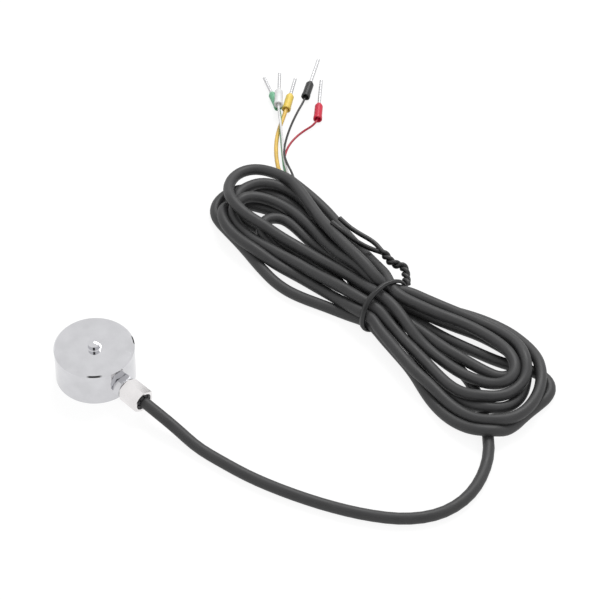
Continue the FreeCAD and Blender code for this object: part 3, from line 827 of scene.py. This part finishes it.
grid = bmesh.new()
bmesh.ops.create_grid(grid, x_segments=1, y_segments=1, size=FLOOR_REACH)
floor_mesh = bpy.data.meshes.new("floor")
grid.to_mesh(floor_mesh)
grid.free()
floor = bpy.data.objects.new("floor", floor_mesh)
bpy.context.scene.collection.objects.link(floor)
floor_white = new_material("floor_white", (FLOOR_GREY, FLOOR_GREY, FLOOR_GREY), FLOOR_ROUGHNESS)
floor_mesh.materials.append(floor_white)
main_shader(floor_white).inputs["Emission Color"].default_value = WHITE
floor_rays = add_node(floor_white, "ShaderNodeLightPath")
glow = add_node(floor_white, "ShaderNodeMath", operation="MULTIPLY")
glow.inputs[1].default_value = FLOOR_GLOW
connect(floor_white, rays_that_see(floor_white, floor_rays), glow.inputs[0])
connect(floor_white, glow.outputs[0], main_shader(floor_white).inputs["Emission Strength"])
print("floor", FLOOR_REACH * 2, "m wide")

# %% [markdown]
# The world is the white room. It gives about half its brightness as light, and shows pure white. Polished
# metal mirrors the room, and in it the camera, as a dark spot: it makes the thin dark crescent on the
# body's front rim. A dark disc round the camera could be modelled, but it would keep light away and show
# in views from behind. So the spot is painted on the world, in the direction of the camera, for mirrored
# rays alone, with an edge a few degrees soft.

# %% World
WORLD_LIGHT, WORLD_SEEN = 0.55, 1.0
SPOT_EDGE, SPOT_CORE = math.radians(17), math.radians(11)
SPOT_DARKNESS = 0.94

world = bpy.data.worlds.new("studio")
bpy.context.scene.world = world
world.use_nodes = True
background = world.node_tree.nodes["Background"]
rays = add_node(world, "ShaderNodeLightPath")
level = add_node(world, "ShaderNodeMapRange", **{"To Min": WORLD_LIGHT, "To Max": WORLD_SEEN})
connect(world, rays_that_see(world, rays), level.inputs["Value"])
connect(world, level.outputs["Result"], background.inputs["Strength"])

direction = add_node(world, "ShaderNodeTexCoord")
towards_camera = add_node(world, "ShaderNodeVectorMath", operation="DOT_PRODUCT")
towards_camera.inputs[1].default_value = tuple(back)
spot = add_node(world, "ShaderNodeMapRange", **{
    "From Min": math.cos(SPOT_EDGE), "From Max": math.cos(SPOT_CORE), "To Min": 0.0,
    "To Max": SPOT_DARKNESS})
mirrored_spot = add_node(world, "ShaderNodeMath", operation="MULTIPLY")
shade = add_node(world, "ShaderNodeMix", data_type="RGBA")
shade.inputs[MIX_FIRST].default_value = WHITE
shade.inputs[MIX_SECOND].default_value = BLACK
connect(world, direction.outputs["Generated"], towards_camera.inputs[0])
connect(world, towards_camera.outputs["Value"], spot.inputs["Value"])
connect(world, spot.outputs["Result"], mirrored_spot.inputs[0])
connect(world, rays.outputs["Is Glossy Ray"], mirrored_spot.inputs[1])
connect(world, mirrored_spot.outputs[0], shade.inputs["Factor"])
connect(world, shade.outputs[MIX_RESULT], background.inputs["Color"])
print("world", WORLD_LIGHT, "as light and", WORLD_SEEN, "as seen")

# %% [markdown]
# The room alone would light everything evenly. Two large soft lamps add the slight shadows and the sheen
# along the cable: a key from high behind and a weaker fill from the front right. A spot or a sun would
# throw sharp shadows, which the photograph doesn't have. The fill isn't mirrored, so that the polished
# parts show one bright patch and not two.

# %% Lamps
LAMP_AIM = (0.03, 0.04, 0.0)


def add_lamp(name, place, size, power, mirrored):
    """A rectangular lamp, in watts, that looks at the middle of the object."""
    lamp_data = bpy.data.lights.new(name, "AREA")
    lamp_data.shape = "RECTANGLE"
    lamp_data.size, lamp_data.size_y = size
    lamp_data.energy = power
    lamp = bpy.data.objects.new(name, lamp_data)
    lamp.location = place
    lamp.rotation_euler = (Vector(LAMP_AIM) - Vector(place)).to_track_quat("-Z", "Y").to_euler()
    lamp.visible_glossy = mirrored
    bpy.context.scene.collection.objects.link(lamp)


add_lamp("key", place=(-0.25, 0.55, 0.75), size=(0.5, 0.3), power=4.0, mirrored=True)
add_lamp("fill", place=(0.8, -0.2, 0.6), size=(0.4, 0.4), power=1.5, mirrored=False)
print("lamps", len(bpy.data.lights))
